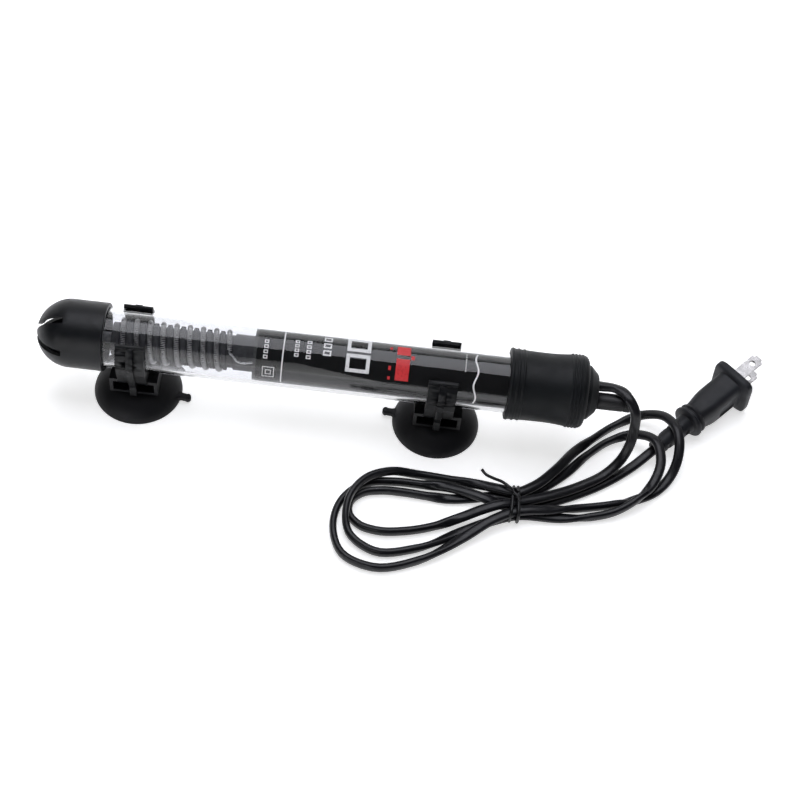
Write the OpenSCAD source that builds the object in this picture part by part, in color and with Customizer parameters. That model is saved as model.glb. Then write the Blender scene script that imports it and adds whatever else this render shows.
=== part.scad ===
// Submersible aquarium heater: a glass tube with a wound ceramic former and a
// bimetal thermostat inside, a slotted guard over its closed end, a rubber boot
// with the temperature knob and the mains cord at the other, and two clips that
// carry suction cups. The tube lies along X, its closed end at -X.
// The origin is on the surface that the cups rest on, under the heater's middle.

/* [Glass tube] */
// Outside diameter of the glass tube
tube_d = 28; // [27.8:0.1:28.1]
// Thickness of the glass
glass_t = 1.8; // [1.7:0.05:1.9]
// Height of the tube's axis above the surface that the cups rest on
axis_z = 38; // [38:0.5:40]
// Half of the heater's length, from the guard's tip to the knob's end
half_len = 139; // [138.5:0.5:139.5]

/* [Guard cap] */
// Outside diameter of the guard cap
guard_d = 32; // [31.8:0.1:32.4]
// Length of the guard cap
guard_len = 32; // [31:0.5:32.5]
// Width of the water slots in the guard's nose
slot_w = 3.25; // [2:0.25:3.5]
// Depth of the water slots from the nose
slot_len = 13.5; // [9:0.5:14]

/* [Heating element] */
// Diameter of the ceramic former's core
former_d = 15.2; // [14.6:0.2:15.4]
// Diameter over the former's spiral ridge
ridge_d = 18; // [17.6:0.1:18.2]
// Turns of the heating coil
coil_turns = 8.5; // [6.5:1:9.5]
// Distance between turns of the heating coil
coil_pitch = 6.15; // [5.8:0.05:6.2]
// Diameter of the wound resistance wire, seen as a cord
coil_d = 2.5; // [2:0.1:2.5]

/* [Boot and knob] */
// Radius of the boot at its ends
boot_r = 17; // [16.8:0.1:17.3]
// Radius of the boot at its waist
waist_r = 16.2; // [15.8:0.1:16.5]
// Diameter of the temperature knob
knob_d = 8; // [7:0.1:8.1]

/* [Clips and suction cups] */
// Place of the clip near the guard, along the tube
clip_1_x = -94; // [-96:0.5:-90]
// Place of the clip near the boot, along the tube
clip_2_x = 50; // [46:0.5:52]
// Width of a clip's arms along the tube
arm_w = 13.5; // [12:0.5:15]
// Length of a clip's tray along the tube
tray_w = 22.5; // [21:0.5:24]
// Outside diameter of a suction cup
cup_d = 42; // [40:0.5:42]

/* [Plug] */
// Height of the plug's front flange
flange_h = 23.2; // [22:0.2:23.2]
// Width of the plug's front flange
flange_w = 22; // [20:0.5:23]
// Length of the plug's blades in front of the flange
blade_len = 16.5; // [15:0.5:18]

/* [Hidden] */

$fn = 64;
eps = 0.01;
run_gap = 0.06; // radial clearance of a running fit

tube_r = tube_d / 2;
bore_r = tube_r - glass_t;
guard_r = guard_d / 2;
cup_r = cup_d / 2;

// Stations along X
guard_rim_x = guard_len - half_len;
nose_x = sqrt(guard_r * guard_r - slot_w * slot_w) - half_len;
glass_end_x = -127;
glass_open_x = 100;
former_l_x = -104;
former_r_x = -38;
sleeve_r_x = 84;
boot_l_x = 80;
bung_head_x = 112;
boot_r_x = 122;
coil_r_x = -49.2;
coil_l_x = coil_r_x - coil_turns * coil_pitch;

// The knob and the cord leave the boot on opposite sides of its axis
knob_off = [-2.3, -2.3];
cord_off = [2.55, 2.55];
spindle_r = 2;
thread_r = 1.5;
relief_end_x = 125;

module along_x(x, y = 0, z = 0) {
    translate([x, y, axis_z + z]) rotate([0, 90, 0]) children();
}

// A flat oval outline, h thick and w wide, with round ends
module stadium(h, w) {
    square([h, w - h], center = true);
    for (side = [-1, 1]) translate([0, side * (w - h) / 2]) circle(d = h);
}

// ---- Closed end ----

first_slot = 76.5; // direction of the first slot, from straight down towards +Y
guard_wall = 2;

module guard_slots() {
    for (turn = [0:2])
        along_x(-half_len - 1)
            rotate([0, 0, first_slot + 60 * turn])
                translate([-guard_r - 1, -slot_w / 2, 0])
                    cube([guard_d + 2, slot_w, slot_len + 1]);
}

module guard_cap() {
    color("#26272a") difference() {
        union() {
            along_x(nose_x) cylinder(r = guard_r, h = guard_rim_x - nose_x);
            translate([nose_x, 0, axis_z]) sphere(r = guard_r);
        }
        along_x(glass_end_x - 0.5)
            cylinder(r = tube_r + run_gap, h = half_len);
        difference() {
            translate([nose_x, 0, axis_z]) sphere(r = guard_r - guard_wall);
            along_x(glass_end_x) cylinder(r = guard_r, h = half_len);
        }
        guard_slots();
    }
}

// Half outline of the closed tube, its round end at the origin
module tube_outline(r, len, corner) {
    intersection() {
        union() {
            translate([0, corner]) square([r, len - corner]);
            square([r - corner, corner + eps]);
            translate([r - corner, corner]) circle(r = corner);
        }
        square([r, len]);
    }
}

glass_corner = 9; // radius of the closed end's corner

module glass_tube() {
    len = glass_open_x - glass_end_x;
    color("#dfe9ec", 0.35) along_x(glass_end_x) rotate_extrude() difference() {
        tube_outline(tube_r, len, glass_corner);
        translate([0, glass_t]) tube_outline(bore_r, len, glass_corner - glass_t);
    }
}

// The pad's stem holds the former; a groove lets the coil's lead cross it
module base_pad() {
    pad_x = -122;
    pad_r = 9.5;
    pad_len = 10;
    stem_r = 2.6;
    groove = lead_d + 0.2;
    color("#d9d6cc") difference() {
        union() {
            along_x(pad_x) cylinder(r = pad_r, h = pad_len);
            along_x(pad_x) cylinder(r = stem_r, h = former_l_x - pad_x);
        }
        along_x(former_l_x - groove) rotate([0, 0, lead_turn])
            translate([-pad_r, -groove / 2, 0]) cube([pad_r + 0.6, groove, groove + 1]);
    }
}

// ---- Heating element ----

// Direction of a spiral at x, measured from straight up towards +Y. The coil's
// right end faces forward and up, where its lead is.
coil_phase = -36;
function spiral_angle(x, shift) = 360 * (coil_r_x - x) / coil_pitch + coil_phase + shift;

lead_d = 1;
lead_r = ridge_d / 2 + lead_d / 2 + 0.1;
lead_y = lead_r * sin(coil_phase);
lead_z = lead_r * cos(coil_phase);
// Turn about the tube's axis that takes straight up to the coil's left end
lead_turn = -spiral_angle(coil_l_x, 0);
lead_down_x = 8;

// Tube of n rings and s sides round a list of points, closed at both ends
module sweep(points, frames, outline) {
    n = len(points);
    s = len(outline);
    rings = [
        for (i = [0:n - 1], p = outline)
            points[i] + p[0] * frames[i][0] + p[1] * frames[i][1]
    ];
    sides = [
        for (i = [0:n - 2], k = [0:s - 1])
            let (m = (k + 1) % s)
                [i * s + k, (i + 1) * s + k, (i + 1) * s + m, i * s + m]
    ];
    first = [for (k = [0:s - 1]) k];
    last = [for (k = [s - 1:-1:0]) (n - 1) * s + k];
    polyhedron(points = rings, faces = concat(sides, [first, last]), convexity = 20);
}

// Spiral bar from x0 to x1 at radius r, with the given number of steps in a turn
module spiral(r, x0, x1, shift, outline, steps) {
    n = round((x1 - x0) / coil_pitch * steps);
    xs = [for (i = [0:n]) x0 + (x1 - x0) * i / n];
    points = [
        for (x = xs)
            let (a = spiral_angle(x, shift)) [x, r * sin(a), r * cos(a)]
    ];
    frames = [
        for (x = xs)
            let (a = spiral_angle(x, shift)) [[0, sin(a), cos(a)], [-1, 0, 0]]
    ];
    translate([0, 0, axis_z]) sweep(points, frames, outline);
}

function ring_outline(d, sides) =
    [for (k = [0:sides - 1]) d / 2 * [cos(360 * k / sides), sin(360 * k / sides)]];

former_bore_r = 1.6;

// The ridge runs half a turn from the coil, so the wire lies in its groove
module ceramic_former() {
    core_r = former_d / 2;
    collar_r = core_r + 0.8;
    ridge_h = (ridge_d - former_d) / 2;
    foot = 1.3; // half width of the ridge at its foot
    top = 0.9; // half width of the ridge at its top
    ridge = [[-1, -foot], [ridge_h, -top], [ridge_h, top], [-1, foot]];
    len = former_r_x - former_l_x;
    collar_x = coil_r_x + coil_d / 2 + 0.4;
    color("#5b5c60") {
        difference() {
            along_x(former_l_x) cylinder(r = core_r, h = len);
            along_x(former_l_x - 1) cylinder(r = former_bore_r, h = len + 2);
        }
        spiral(core_r, coil_l_x, coil_r_x - foot, 180, ridge, 20);
        along_x(collar_x) difference() {
            cylinder(r = collar_r, h = former_r_x - collar_x);
            translate([0, 0, -1]) cylinder(r = core_r - 1, h = former_r_x - collar_x + 2);
        }
    }
}

module heating_coil() {
    color("#c9c9cc")
        spiral((former_d + coil_d) / 2 + 0.05, coil_l_x, coil_r_x, 0,
            ring_outline(coil_d, 8), 18);
}

// One lead from the coil's right end, one from its left end back through the former
module coil_leads() {
    r = lead_d / 2;
    turn_x = former_l_x - r - 0.1;
    color("#d0d0d2") {
        along_x(coil_r_x + coil_d / 2 + 0.05, lead_y, lead_z)
            cylinder(r = r, h = lead_down_x + r - coil_r_x - coil_d / 2 - 0.05, $fn = 24);
        translate([lead_down_x, lead_y, axis_z + board_top])
            cylinder(r = r, h = lead_z - board_top, $fn = 24);
        along_x(turn_x - r) cylinder(r = r, h = lead_down_x + 2 * r - turn_x, $fn = 24);
        translate([lead_down_x, 0, axis_z + board_top])
            cylinder(r = r, h = -board_top, $fn = 24);
        along_x(turn_x) rotate([0, 0, lead_turn]) {
            rotate([0, -90, 0]) cylinder(r = r, h = lead_r, $fn = 24);
            translate([-lead_r, 0, -r])
                cylinder(r = r, h = coil_l_x - coil_d / 2 - 0.05 - turn_x + r, $fn = 24);
        }
    }
}

shield_t = 1.4;

module heat_shield() {
    hole_r = lead_d / 2 + 0.2;
    color("#c8bfa8") difference() {
        along_x(former_r_x) cylinder(r = bore_r - 0.3, h = shield_t);
        along_x(former_r_x - 1, lead_y, lead_z) cylinder(r = hole_r, h = shield_t + 2);
        along_x(former_r_x - 1) cylinder(r = hole_r, h = shield_t + 2);
    }
}

module inner_sleeve() {
    sleeve_t = 0.45;
    outer_r = bore_r - 0.15;
    len = sleeve_r_x - former_r_x - shield_t;
    color("#17181a") along_x(former_r_x + shield_t) difference() {
        cylinder(r = outer_r, h = len);
        translate([0, 0, -1]) cylinder(r = outer_r - sleeve_t, h = len + 2);
    }
}

// ---- Thermostat ----

board_x = 6;
board_len = 74;
board_w = 16.8;
board_t = 1.6;
board_top = -4.6;
strip_x = 18; // the post that holds the strip and the leaf
post_half = 3;
strip_z = 1.6;
strip_t = 0.7;
leaf_z = -1.6;
leaf_t = 0.6;
contact_x = 52;
contact_r = 1.6;
contact_gap = 0.06;
nut_x = 67.4;
nut_size = [5, 6, 5.1];
terminal_x = 76;
live_y = 3.6;
neutral_y = -5.6;
wire_r = 0.9;

module thermostat_board() {
    color("#8a5a34") difference() {
        translate([board_x, -board_w / 2, axis_z + board_top - board_t])
            cube([board_len, board_w, board_t]);
        for (x = [board_x + 6, board_x + board_len - 12])
            translate([x, 0, axis_z + board_top - 3]) cylinder(r = 1.2, h = 5);
    }
}

module strip_post() {
    color("#b9b9b4") translate([strip_x - post_half, -3.5, axis_z + board_top])
        cube([2 * post_half, 7, strip_z + strip_t + 0.6 - board_top]);
}

module bimetal_strip() {
    color("#c79a4b") translate([strip_x + post_half + 0.2, -3, axis_z + strip_z])
        cube([38, 6, strip_t]);
}

module moving_contact() {
    h = 1.2;
    color("#e0e0e0") translate([contact_x, 0, axis_z + strip_z - h])
        cylinder(r = contact_r, h = h);
}

module contact_leaf() {
    leaf_x = strip_x + post_half;
    color("#b87333") translate([leaf_x, -2.6, axis_z + leaf_z])
        cube([nut_x - leaf_x - 0.4, 5.2, leaf_t]);
}

module fixed_contact() {
    foot = leaf_z + leaf_t;
    top = strip_z - 1.2 - contact_gap;
    color("#e0e0e0") translate([contact_x, 0, axis_z + foot])
        cylinder(r = contact_r, h = top - foot);
}

module snap_magnet() {
    color("#3a3a3f")
        translate([contact_x + 3.5, 3.4, axis_z + board_top]) cube([5, 3, 5.4]);
}

module adjuster_nut() {
    color("#c9a545") difference() {
        translate([nut_x, knob_off[0] - nut_size[1] / 2, axis_z + board_top])
            cube(nut_size);
        along_x(nut_x - 1, knob_off[0], knob_off[1])
            cylinder(r = thread_r + run_gap, h = nut_size[0] + 2);
    }
}

module control_spindle() {
    thread_x = nut_x - 0.2;
    shaft_x = 78.5;
    color("#c8c8cc") {
        along_x(thread_x, knob_off[0], knob_off[1])
            cylinder(r = thread_r, h = shaft_x - thread_x);
        along_x(shaft_x, knob_off[0], knob_off[1])
            cylinder(r = spindle_r, h = boot_r_x + 0.5 - shaft_x);
    }
}

module spindle_seal() {
    color("#202022") along_x(seal_x, knob_off[0], knob_off[1])
        rotate_extrude() translate([spindle_r + run_gap + seal_r, 0])
            circle(r = seal_r, $fn = 32);
}

lamp_at = [-24, 4.6, 3];
resistor_x = -10;

module indicator_lamp() {
    lamp_r = 2.4;
    color("#e08a5a", 0.6) {
        along_x(lamp_at[0], lamp_at[1], lamp_at[2]) cylinder(r = lamp_r, h = 10);
        translate([lamp_at[0], lamp_at[1], axis_z + lamp_at[2]]) sphere(r = lamp_r);
    }
}

// The resistor with the wire that holds it and the lamp to the board
module lamp_resistor() {
    wire_r = 0.4;
    foot_x = lead_down_x + 1;
    color("#c9a66b") {
        along_x(resistor_x, lamp_at[1], lamp_at[2]) cylinder(r = 1.3, h = 7);
        along_x(lamp_at[0] + 10, lamp_at[1], lamp_at[2])
            cylinder(r = wire_r, h = foot_x + wire_r - lamp_at[0] - 10, $fn = 24);
        translate([foot_x, lamp_at[1], axis_z + board_top])
            cylinder(r = wire_r, h = lamp_at[2] - board_top, $fn = 24);
    }
}

module terminal_pins() {
    color("#d8d8d8") for (y = [live_y, neutral_y])
        translate([terminal_x, y, axis_z + board_top]) cylinder(r = wire_r, h = 4);
}

// The wires run from the pins to the end of the cord, one over the other
tail_x = 80;

module live_wire() {
    up = 1.5;
    color("#101010") {
        translate([terminal_x, live_y, axis_z + board_top + 4])
            cylinder(r = wire_r, h = up - board_top - 4);
        along_x(terminal_x - wire_r, live_y, up)
            cylinder(r = wire_r, h = tail_x - terminal_x + wire_r);
    }
}

module neutral_wire() {
    up = 3.6;
    over_y = 1.5;
    color("#e8e8e8") {
        translate([terminal_x, neutral_y, axis_z + board_top + 4])
            cylinder(r = wire_r, h = up - board_top - 4);
        translate([terminal_x, neutral_y - wire_r, axis_z + up]) rotate([-90, 0, 0])
            cylinder(r = wire_r, h = over_y - neutral_y + 2 * wire_r);
        along_x(terminal_x, over_y, up) cylinder(r = wire_r, h = tail_x - terminal_x);
    }
}

// ---- Boot end ----

ring_xs = [88, 95]; // sealing rings of the bung
ring_r = 0.8;
seal_x = 92; // sealing ring of the spindle
seal_r = 0.7;
relief_x = 102; // inner end of the strain relief
relief_grow = 1.4;
cord_t = 3.4;
cord_w = 4.8;

module cord_cut(x, len, grow = 0) {
    along_x(x, cord_off[0], cord_off[1]) rotate([0, 0, -45])
        linear_extrude(len) stadium(cord_t + grow, cord_w + grow);
}

module tube_bung() {
    color("#2b2b2e") difference() {
        union() {
            along_x(sleeve_r_x) cylinder(r = bore_r, h = bung_head_x - sleeve_r_x);
            along_x(glass_open_x) cylinder(r = tube_r, h = bung_head_x - glass_open_x);
        }
        for (x = ring_xs) along_x(x - ring_r) difference() {
            cylinder(r = tube_r, h = 2 * ring_r);
            translate([0, 0, -1]) cylinder(r = bore_r - 2 * ring_r, h = 4);
        }
        along_x(sleeve_r_x - 1, knob_off[0], knob_off[1])
            cylinder(r = spindle_r + run_gap, h = 40);
        along_x(seal_x - seal_r, knob_off[0], knob_off[1])
            cylinder(r = spindle_r + run_gap + 2 * seal_r, h = 2 * seal_r);
        cord_cut(sleeve_r_x - 1, relief_x - sleeve_r_x + 2);
        cord_cut(relief_x, bung_head_x - relief_x + 1, relief_grow);
    }
}

module bung_rings() {
    color("#111113") for (x = ring_xs) along_x(x)
        rotate_extrude() translate([bore_r - ring_r, 0]) circle(r = ring_r, $fn = 32);
}

function waist_at(x) =
    let (t = (x - 97) / (x < 97 ? 17 : 13))
        waist_r + (boot_r - waist_r) * min(1, t * t * (x < 97 ? 0.6 : 1.15));

module boot_outline() {
    swell = [for (x = [boot_l_x:1.5:113]) [waist_at(x), x - boot_l_x]];
    polygon(concat([[0, 0]], swell, [[boot_r, 34.5], [0, 34.5]]));
    for (x = [0.95, 3.7, 6.3]) translate([waist_at(boot_l_x + x) - 0.6, x])
        circle(r = 0.95, $fn = 32);
    for (k = [0:3]) translate([boot_r - 0.25, 29 + 1.55 * k]) circle(r = 0.6, $fn = 32);
    translate([0, 33]) square([boot_r - 2.6, 3.6]);
    translate([boot_r - 2.6, 34]) circle(r = 2.6);
    polygon([[0, 35], [12.9, 35], [12.6, 38.2], [8.8, 42], [0, 42]]);
}

module rubber_boot() {
    color("#1b1c1e") difference() {
        along_x(boot_l_x) rotate_extrude() boot_outline();
        along_x(boot_l_x - 1) cylinder(r = tube_r, h = bung_head_x - boot_l_x + 1);
        along_x(bung_head_x - 1, knob_off[0], knob_off[1])
            cylinder(r = spindle_r + 0.3, h = 12);
        along_x(boot_r_x - 2.5, knob_off[0], knob_off[1])
            cylinder(r = knob_d / 2 + 0.3, h = 4);
        cord_cut(bung_head_x - 1, 12, relief_grow);
    }
}

module control_knob() {
    tip = 1.4;
    len = half_len - boot_r_x + 2;
    color("#1d1e20") along_x(half_len - len, knob_off[0], knob_off[1]) difference() {
        rotate_extrude() {
            square([knob_d / 2, len - tip]);
            square([knob_d / 2 - tip, len]);
            translate([knob_d / 2 - tip, len - tip]) circle(r = tip, $fn = 32);
        }
        translate([0, 0, -1]) cylinder(r = spindle_r, h = 3.5);
    }
}

module cord_tail() {
    color("#141415") cord_cut(tail_x, relief_x - tail_x);
}

// The relief's rings step down in size towards the cord
module strain_relief() {
    color("#161617") {
        cord_cut(relief_x, boot_r_x - relief_x, relief_grow);
        for (k = [0:1]) cord_cut(boot_r_x + 1.5 * k, 0.9, relief_grow - 0.1 - 0.4 * k);
        for (k = [0:1]) cord_cut(boot_r_x + 1.5 * k + 0.9 - eps, 0.6 + 2 * eps, 0.3);
    }
}

// ---- Cord ----

relief_tip = [relief_end_x, cord_off[0], axis_z + cord_off[1]];

// The cord's route: over the knob, down to the surface, three times through the
// tie to a loop at its left, and back between them to two loops at its right.
route = [
    relief_tip, [129.4, 2, 41.1], [133.8, -0.6, 42], [137.5, -5, 41.4],
    [140.5, -8.7, 37.4], [141.5, -10, 31.4], [142, -10.4, 25], [141.8, -12, 17.5],
    [139.2, -16, 10.6], [133, -22, 6.2], [121, -30.4, 5.2], [107, -38, 5.9],
    [90, -45, 6.9],
    // left loop, inner
    [83, -47.5, 7.7], [75, -50.8, 6.8], [66, -54.8, 4.6], [54, -60.2, 2.9],
    [40, -64.6, 2.5], [27, -66, 2.5], [18.8, -63.9, 2.5], [14, -59, 2.5],
    [14, -51.6, 2.5], [18.8, -46.4, 2.5], [27, -44, 2.5], [38, -43.6, 2.5],
    [49, -44.2, 2.5], [60, -44, 1.95], [70, -42.2, 1.95], [80, -40.2, 2.6],
    [90, -39.8, 3.3],
    // right loop, inner
    [100, -34.8, 3.2], [112, -24.4, 2.4], [125, -9.6, 2.5], [136, -0.4, 3.2],
    [147, 1.4, 7.4], [155, -3.6, 11.5], [158, -14.6, 10.8], [154.8, -26, 7.8],
    [147.5, -35, 6.2], [138, -41.5, 3.8], [126, -45.6, 2.6], [112, -47.8, 2.05],
    [90, -50.1, 3.3],
    // left loop, middle
    [78, -54.8, 2.4], [66, -61.5, 2.05], [45, -73.6, 2.5], [27, -77, 2.5],
    [14.5, -69, 3.4], [12.6, -54.5, 8], [19.5, -42, 8.4], [31, -35.4, 6.8],
    [44, -33.2, 3.2], [60, -33.8, 2.65], [76, -36.6, 5.2], [83, -38.4, 6.7],
    [90, -39.4, 7],
    // right loop, outer
    [98.6, -34.6, 7], [108.5, -24, 6.7], [117, -11.8, 5.2], [126, -1.6, 3],
    [138, 9.2, 2.7], [150, 14.2, 6.2], [160, 10.6, 12], [165.6, 1, 14.2],
    [166.6, -10, 10.4], [163.4, -19.6, 4.8], [157, -27, 2.2], [148, -32.5, 2.05],
    [138, -36.8, 2.6], [118, -42.2, 2.9], [106, -46.2, 5.6], [90, -50.1, 6.9],
    // left loop, outer
    [80, -55.6, 6.4], [68, -65, 4.4], [47, -79.6, 2.5], [27, -85.5, 2.5],
    [12.5, -80, 2.5], [7, -66, 2.5], [9.8, -51, 2.5], [20, -40.8, 2.5],
    [34, -38.2, 2.5], [46, -38.3, 2.7], [58, -39.2, 4.4], [69, -41.9, 5.6],
    [78, -44.5, 5.6], [84.5, -45.4, 3.8], [91, -44.8, 3.2],
    // on to the plug
    [100, -42.6, 2.1], [113, -36.8, 1.95], [130, -27, 1.95], [145, -15.4, 3],
    [156, -4.8, 5.6]
];
cord_rings = 80;

// The curve's direction at one of the route's points
function heading(i) =
    let (
        n = len(route),
        before = i > 0 ? route[i] - route[i - 1] : route[1] - route[0],
        after = i < n - 1 ? route[i + 1] - route[i] : route[n - 1] - route[n - 2],
        a = norm(before),
        b = norm(after)
    )
        (before * b / a + after * a / b) / (a + b);

// A smooth curve through the route's points
function route_at(u) =
    let (
        i = min(len(route) - 2, floor(u)),
        t = u - i,
        b = route[i],
        c = route[i + 1],
        len = norm(c - b)
    )
        (2 * t * t * t - 3 * t * t + 1) * b
        + (t * t * t - 2 * t * t + t) * len * heading(i)
        + (3 * t * t - 2 * t * t * t) * c
        + (t * t * t - t * t) * len * heading(i + 1);

function unit(v) = v / norm(v);

module power_cord() {
    last = len(route) - 1;
    along = [
        for (i = [0:cord_rings])
            let (u = last * i / cord_rings)
                unit(route_at(min(last, u + 0.05)) - route_at(max(0, u - 0.05)))
    ];
    frames = [
        for (d = along)
            let (side = unit(cross(abs(d[2]) > 0.9 ? [1, 0, 0] : [0, 0, 1], d)))
                [side, cross(d, side)]
    ];
    points = [for (i = [0:cord_rings]) route_at(last * i / cord_rings)];
    color("#121213") sweep(points, frames, ring_outline(cord_t, 8));
}

// Rounded rectangle, its lower edge at y = 0
module loop_outline(w, h, r) {
    translate([-w / 2 + r, 0]) square([w - 2 * r, h]);
    translate([-w / 2, r]) square([w, h - 2 * r]);
    for (x = [-w / 2 + r, w / 2 - r], y = [r, h - r]) translate([x, y]) circle(r = r);
}

module cord_tie() {
    wide = 18.6;
    high = 10.6;
    wall = 1.6;
    color("#0e0e0f") {
        for (x = [87.6, 90.4]) translate([x, -45, 0.1])
            rotate([90, 0, 90]) linear_extrude(1.7) difference() {
                loop_outline(wide, high, 3.6);
                translate([0, wall]) loop_outline(wide - 2 * wall, high - 2 * wall, 2.4);
            }
        translate([87.8, -41, high - 0.6]) rotate([0, -84, -32])
            cylinder(r = 0.8, h = 16, $fn = 24);
    }
}

// ---- Plug ----

plug_at = [156, -4.8, 5.6];
plug_heading = 46;
plug_rise = 6.7;
flange_x = 52;
flange_t = 4;
blade_gap = 12.7;
blade_w = 6.35;
blade_t = 1.5;

// Local Z runs along the plug to its blades, and local X points down
module plug_frame() {
    translate(plug_at) rotate([0, 90 - plug_rise, plug_heading]) children();
}

module rounded_bar(h, w, r, len) {
    translate([-h / 2 + r, -w / 2, 0]) cube([h - 2 * r, w, len]);
    translate([-h / 2, -w / 2 + r, 0]) cube([h, w - 2 * r, len]);
    for (x = [-h / 2 + r, h / 2 - r], y = [-w / 2 + r, w / 2 - r])
        translate([x, y, 0]) cylinder(r = r, h = len);
}

module plug_body() {
    color("#18181a") plug_frame() difference() {
        union() {
            cylinder(r1 = 4, r2 = 5, h = 24);
            translate([0, 0, 22.5]) cylinder(r = 8.2, h = 2);
            translate([0, 0, 24.5]) cylinder(r = 7, h = 1.6);
            translate([0, 0, 26]) cylinder(r = 7.8, h = 1.6);
            translate([0, 0, 27.4]) rounded_bar(15, 13, 4, 8);
            translate([0, 0, 34]) rounded_bar(18, 14.6, 4, flange_x - 33.5);
            translate([0, 0, flange_x]) rounded_bar(flange_h, flange_w, 3, flange_t);
        }
        for (side = [-1, 1], row = [0:2])
            translate([-2.4, side * 4.6 - 1.5, 5 + 6 * row]) cube([4.8, 3, 2.2]);
        for (side = [-1, 1]) {
            translate([-4, side * 7.8 - 1.4, 38]) cube([8, 2.8, 10]);
            translate([side * blade_gap / 2, 0, flange_x + 2])
                cube([blade_t + 0.02, blade_w + 0.02, 12], center = true);
        }
    }
}

module plug_blades() {
    root = 4; // how deep a blade sits in the body
    nose = 1.4; // how far a blade's end narrows
    hole_x = 11.5; // the hole's distance from the flange
    color("#cfcfd2") plug_frame() for (side = [-1, 1]) {
        translate([(side * blade_gap - blade_t) / 2, 0, 0]) difference() {
            union() {
                translate([0, -blade_w / 2, flange_x - root])
                    cube([blade_t, blade_w, root + flange_t + blade_len - nose]);
                translate([0, nose - blade_w / 2, flange_x - root])
                    cube([blade_t, blade_w - 2 * nose, root + flange_t + blade_len]);
            }
            translate([-1, 0, flange_x + flange_t + hole_x])
                rotate([0, 90, 0]) cylinder(r = 1.6, h = 4);
        }
    }
}

// ---- Clips and cups, each drawn round its cup's axis ----

arm_rise = 38; // how far the arms reach above the tube's axis, in degrees
tray_bottom = 10.8;
tray_top = 20.5;
tray_t = 1.6;
tray_half_y = 10.5;

// Side view of the arms and the neck under them, Y to the right and Z up
module arm_outline() {
    difference() {
        union() {
            translate([0, axis_z]) circle(r = tube_r + 1.6);
            polygon([
                [-15.4, axis_z], [-15, 31], [-12.8, 22.5], [-11, tray_top - 1.5],
                [11, tray_top - 1.5], [12.8, 22.5], [15, 31], [15.4, axis_z]
            ]);
        }
        translate([0, axis_z]) circle(r = tube_r + run_gap);
        translate([0, axis_z]) polygon([
            [0, 0], 40 * [cos(arm_rise), sin(arm_rise)], [0, 60],
            40 * [-cos(arm_rise), sin(arm_rise)]
        ]);
    }
}

// Side view of the stiffening rib that runs down the arms to the tray's floor
module rib_outline() {
    difference() {
        union() {
            translate([0, axis_z]) circle(r = tube_r + 2.6);
            polygon([
                [-16.4, axis_z], [-16, 31], [-13.8, 22], [-12.2, 17],
                [-12.2, tray_bottom], [-9, tray_bottom], [-9, 25], [9, 25],
                [12.4, 19.5], [13.8, 22], [16, 31], [16.4, axis_z]
            ]);
        }
        translate([0, axis_z]) circle(r = tube_r + run_gap);
        translate([0, axis_z]) polygon([
            [0, 0], 40 * [cos(arm_rise), sin(arm_rise)], [0, 60],
            40 * [-cos(arm_rise), sin(arm_rise)]
        ]);
    }
}

module side_plate(width) {
    rotate([90, 0, 90]) translate([0, 0, -width / 2]) linear_extrude(width) children();
}

module clip_lips() {
    lip_r = 1.1;
    for (side = [0, 1]) mirror([0, side, 0])
        translate([0, 0, axis_z]) rotate([-arm_rise, 0, 0])
            translate([-arm_w / 2, -tube_r - 1.2, 0.3]) rotate([0, 90, 0])
                cylinder(r = lip_r, h = arm_w, $fn = 32);
}

module tray() {
    difference() {
        translate([-tray_w / 2, -tray_half_y, tray_bottom])
            cube([tray_w, 2 * tray_half_y, tray_top - tray_bottom]);
        translate([-tray_w / 2 + tray_t, -tray_half_y - 1, tray_bottom + tray_t])
            cube([tray_w - 2 * tray_t, 2 * tray_half_y + 2, 6.1]);
        translate([0, 0, tray_bottom - 1]) cylinder(r = 4.5, h = 4);
        translate([-4.5, 0, tray_bottom - 1]) cube([9, tray_half_y + 1, 4]);
    }
}

module clip(x) {
    translate([x, 0, 0]) {
        difference() {
            union() {
                side_plate(arm_w) arm_outline();
                side_plate(3.2) rib_outline();
                clip_lips();
            }
            along_x(-arm_w) cylinder(r = tube_r + run_gap, h = 2 * arm_w);
            translate([-tray_w / 2 + tray_t, -tray_half_y + 1.2, tray_bottom + tray_t])
                cube([tray_w - 2 * tray_t, 2 * tray_half_y, 6.1]);
        }
        tray();
    }
}

module clip_1() { color("#222326") clip(clip_1_x); }
module clip_2() { color("#222326") clip(clip_2_x); }

dome_h = 10.5;
hollow_h = 7.4;

// Height of the cup's dome at a distance r from its middle
function dome_z(r) = dome_h * pow(max(0, 1 - pow(r / cup_r, 2.4)), 0.55);

// Radius of the ball that stands h high over a circle of radius r
function cap_r(r, h) = (r * r + h * h) / (2 * h);

module cup_outline() {
    rim_t = 0.5;
    steps = 16;
    inner_r = cap_r(cup_r - 2.3, hollow_h);
    rs = [for (i = [0:steps]) (cup_r - 0.02) * (1 - pow(1 - i / steps, 1.6))];
    difference() {
        polygon(concat(
            [[0, 0]],
            [for (r = rs) [r, max(rim_t, dome_z(r))]],
            [[cup_r, rim_t], [cup_r, 0]]
        ));
        translate([0, hollow_h - inner_r]) circle(r = inner_r, $fn = 128);
    }
    translate([0, hollow_h + 0.6]) square([4, 12.6 - hollow_h]);
    translate([0, tray_bottom + tray_t + 0.2]) square([6.8, 4.2]);
    translate([0, tray_bottom + tray_t + 1.2]) square([7.8, 2.2]);
}

module cup(x, tab_side, tab_turn) {
    translate([x, 0, 0]) {
        rotate_extrude() cup_outline();
        rotate([0, 0, tab_turn]) translate([tab_side * 21.4, 0, 1.9]) {
            cube([6, 3.1, 2.9], center = true);
            translate([tab_side * 2.9, 0, -1.45]) cylinder(r = 1.9, h = 2.9, $fn = 32);
        }
    }
}

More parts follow.
